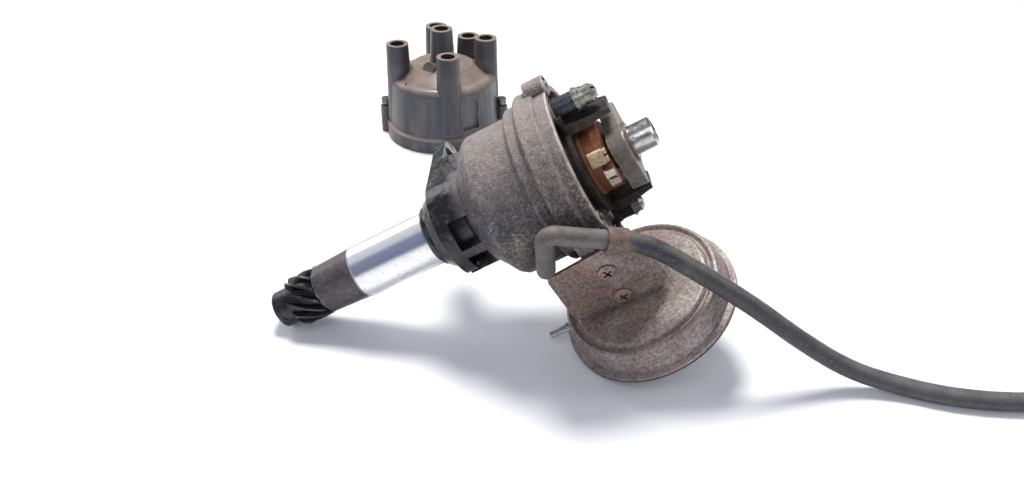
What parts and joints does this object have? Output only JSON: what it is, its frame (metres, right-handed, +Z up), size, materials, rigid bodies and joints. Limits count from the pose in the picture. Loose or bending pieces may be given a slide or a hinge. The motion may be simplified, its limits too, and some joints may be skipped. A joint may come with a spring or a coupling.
{
  "type": "ignition distributor",
  "caption": "Ignition distributor with helical drive gear, magnetic pickup, vacuum advance can and pickup lead, its towered cap taken off and stood beside it.",
  "frame": {"origin": "centre of the bounding box in plan, on the bench that the gear hub, the vacuum can and the cap stand on; the free lead and its plug are left out", "axes": "+Z up, +X to the right and +Y away from the viewer; the distributor shaft rises towards +X"},
  "size_m": [0.3903, 0.3329, 0.1285],
  "materials": {
    "cast_alloy": "rough cast, oily and speckled",
    "black_rubber": "glossy, oiled",
    "bronze": "sintered bronze",
    "gear_steel": "dark, machined teeth",
    "polished_steel": "bright, lightly pitted",
    "plated_steel": "dull zinc plating",
    "can_plate": "worn plating with a brown rust film",
    "bracket_plate": "worn plating with a brown rust film",
    "clip_plate": "rusty strap",
    "dark_iron": "blackened iron",
    "reluctor_iron": "sintered iron, dull",
    "ferrite": "ferrite ring",
    "orange_nylon": "aged orange moulding",
    "beige_nylon": "aged nylon",
    "copper_wire": "varnished winding",
    "brass_parts": "aged brass",
    "diaphragm_rubber": "cloth-backed rubber",
    "felt": "oiled felt",
    "lead_jacket": "aged flexible jacket, worn pale in places",
    "lead_elbow": "moulded elbow",
    "cap_plastic": "aged moulding with tan dust",
    "carbon": "pressed carbon",
    "plug_plastic": "moulded plug"
  },
  "bodies": {
    "housing": {"housing": "cast_alloy", "o_ring": "black_rubber", "lower_bush": "bronze", "upper_bush": "bronze", "base_plate": "plated_steel", "plate_screws": "plated_steel", "vacuum_front_shell": "can_plate", "vacuum_back_shell": "can_plate", "vacuum_nipple": "plated_steel", "diaphragm": "diaphragm_rubber", "diaphragm_spring": "polished_steel", "vacuum_bracket": "bracket_plate", "bracket_screws": "plated_steel", "lead_boot": "lead_elbow", "pickup_lead": "lead_jacket", "lead_plug": "plug_plastic", "plug_pins": "brass_parts", "lead_clip": "clip_plate"},
    "drive": {"drive_shaft": "polished_steel", "drive_gear": "gear_steel", "gear_pin": "polished_steel", "lower_thrust_washer": "plated_steel", "upper_thrust_washer": "plated_steel", "governor_plate": "plated_steel", "governor_springs": "polished_steel"},
    "weight_a": {"governor_weight_a": "dark_iron"},
    "weight_b": {"governor_weight_b": "dark_iron"},
    "rotor": {"rotor_shaft": "polished_steel", "reluctor": "reluctor_iron", "rotor_key_pin": "plated_steel", "felt_wick": "felt"},
    "pickup": {"advance_plate": "plated_steel", "magnet": "ferrite", "stator_plate": "dark_iron", "upper_pole": "dark_iron", "lower_pole": "dark_iron", "pickup_bobbin": "orange_nylon", "copper_winding": "copper_wire", "terminal_block": "beige_nylon", "terminal_tabs": "brass_parts", "screw_spacers": "plated_steel", "screw_washers": "plated_steel", "stator_screws": "plated_steel"},
    "vacuum_rod": {"vacuum_rod": "plated_steel", "diaphragm_cup": "plated_steel"},
    "cap": {"cap_body": "cap_plastic", "cap_terminals": "brass_parts", "cap_screws": "plated_steel", "brush_spring": "polished_steel"},
    "brush": {"carbon_brush": "carbon"}
  },
  "joints": [
    {"name": "shaft_spin", "type": "hinge", "parent": "housing", "child": "drive", "pos_m": [-0.10589, -0.10258, 0.00795], "axis": [0.874, 0, 0.4859], "continuous": true},
    {"name": "governor_advance", "type": "hinge", "parent": "drive", "child": "rotor", "pos_m": [-0.10589, -0.10258, 0.00795], "axis": [0.874, 0, 0.4859], "range_deg": [0, 12], "stiffness_Nm_per_rad": 0.3, "deforming": ["governor_springs"]},
    {"name": "weight_a_swing", "type": "hinge", "parent": "drive", "child": "weight_a", "pos_m": [0.00931, -0.08358, 0.07199], "axis": [0.874, 0, 0.4859], "range_deg": [-12, 0]},
    {"name": "weight_b_swing", "type": "hinge", "parent": "drive", "child": "weight_b", "pos_m": [0.00931, -0.12158, 0.07199], "axis": [0.874, 0, 0.4859], "range_deg": [-12, 0]},
    {"name": "vacuum_advance", "type": "hinge", "parent": "housing", "child": "pickup", "pos_m": [-0.10589, -0.10258, 0.00795], "axis": [0.874, 0, 0.4859], "range_deg": [-10.41, 0], "stiffness_Nm_per_rad": 2},
    {"name": "vacuum_pull", "type": "slide", "parent": "housing", "child": "vacuum_rod", "axis": [-0.4725, -0.2328, 0.85], "range_m": [0, 0.006], "deforming": ["diaphragm", "diaphragm_spring"]},
    {"name": "cap_lift", "type": "slide", "parent": "housing", "child": "cap", "axis": [0, 0, 1], "range_m": [0, 0.1]},
    {"name": "brush_slide", "type": "slide", "parent": "cap", "child": "brush", "axis": [0, 0, 1], "range_m": [0, 0.002], "stiffness_N_per_m": 150, "springref_m": -0.002, "deforming": ["brush_spring"]}
  ],
  "couplings": [
    {"joint": "weight_a_swing", "follows": "governor_advance", "ratio": -1},
    {"joint": "weight_b_swing", "follows": "governor_advance", "ratio": -1},
    {"joint": "vacuum_pull", "follows": "vacuum_advance", "m_per_rad": -0.033}
  ]
}
